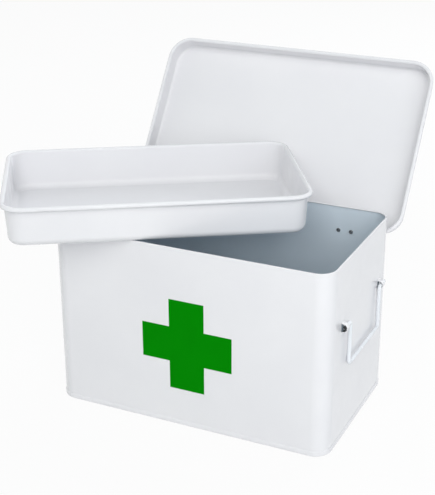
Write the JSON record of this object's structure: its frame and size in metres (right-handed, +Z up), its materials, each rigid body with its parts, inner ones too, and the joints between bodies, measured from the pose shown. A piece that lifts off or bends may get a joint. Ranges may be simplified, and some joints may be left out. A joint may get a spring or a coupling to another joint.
{
  "type": "medicine box",
  "caption": "Sheet-steel medicine box with rounded corners, a hinged over-fitting lid, a lift-out tray lying across its rim, a green cross and a wire handle at each end.",
  "frame": {"origin": "middle of the base, on the surface that the box stands on", "axes": "+X to the right across the front, +Y from the front to the back, +Z up"},
  "size_m": [0.4017, 0.3707, 0.3268],
  "materials": {
    "white_paint": "semi-gloss white enamel",
    "white_wire": "white coating on wire",
    "plated_steel": "plated steel",
    "green_print": "flat green print"
  },
  "bodies": {
    "body": {"body_shell": "white_paint", "base_pan": "white_paint", "hinge_left_body_leaf": "plated_steel", "hinge_right_body_leaf": "plated_steel", "hinge_left_pin": "plated_steel", "hinge_right_pin": "plated_steel", "body_rivets": "plated_steel", "cross_mark": "green_print"},
    "lid": {"lid_shell": "white_paint", "hinge_left_lid_leaf": "plated_steel", "hinge_right_lid_leaf": "plated_steel", "lid_rivets": "plated_steel"},
    "tray": {"tray": "white_paint"},
    "handle_left": {"handle_left": "white_wire"},
    "handle_right": {"handle_right": "white_wire"}
  },
  "joints": [
    {"name": "lid_hinge", "type": "hinge", "parent": "body", "child": "lid", "pos_m": [0, 0.09115, 0.1752], "axis": [1, 0, 0], "range_deg": [0, 124.2]},
    {"name": "tray_lift", "type": "slide", "parent": "body", "child": "tray", "axis": [0, -0.866, 0.5], "range_m": [0, 0.4121]},
    {"name": "handle_left_swing", "type": "hinge", "parent": "body", "child": "handle_left", "pos_m": [-0.15325, 0.005, 0.1278], "axis": [0, 1, 0], "range_deg": [0, 180]},
    {"name": "handle_right_swing", "type": "hinge", "parent": "body", "child": "handle_right", "pos_m": [0.15325, 0.005, 0.1278], "axis": [0, -1, 0], "range_deg": [0, 180]}
  ],
  "couplings": [
    {"joint": "tray_lift", "follows": "lid_hinge", "m_per_rad": 0.19}
  ]
}
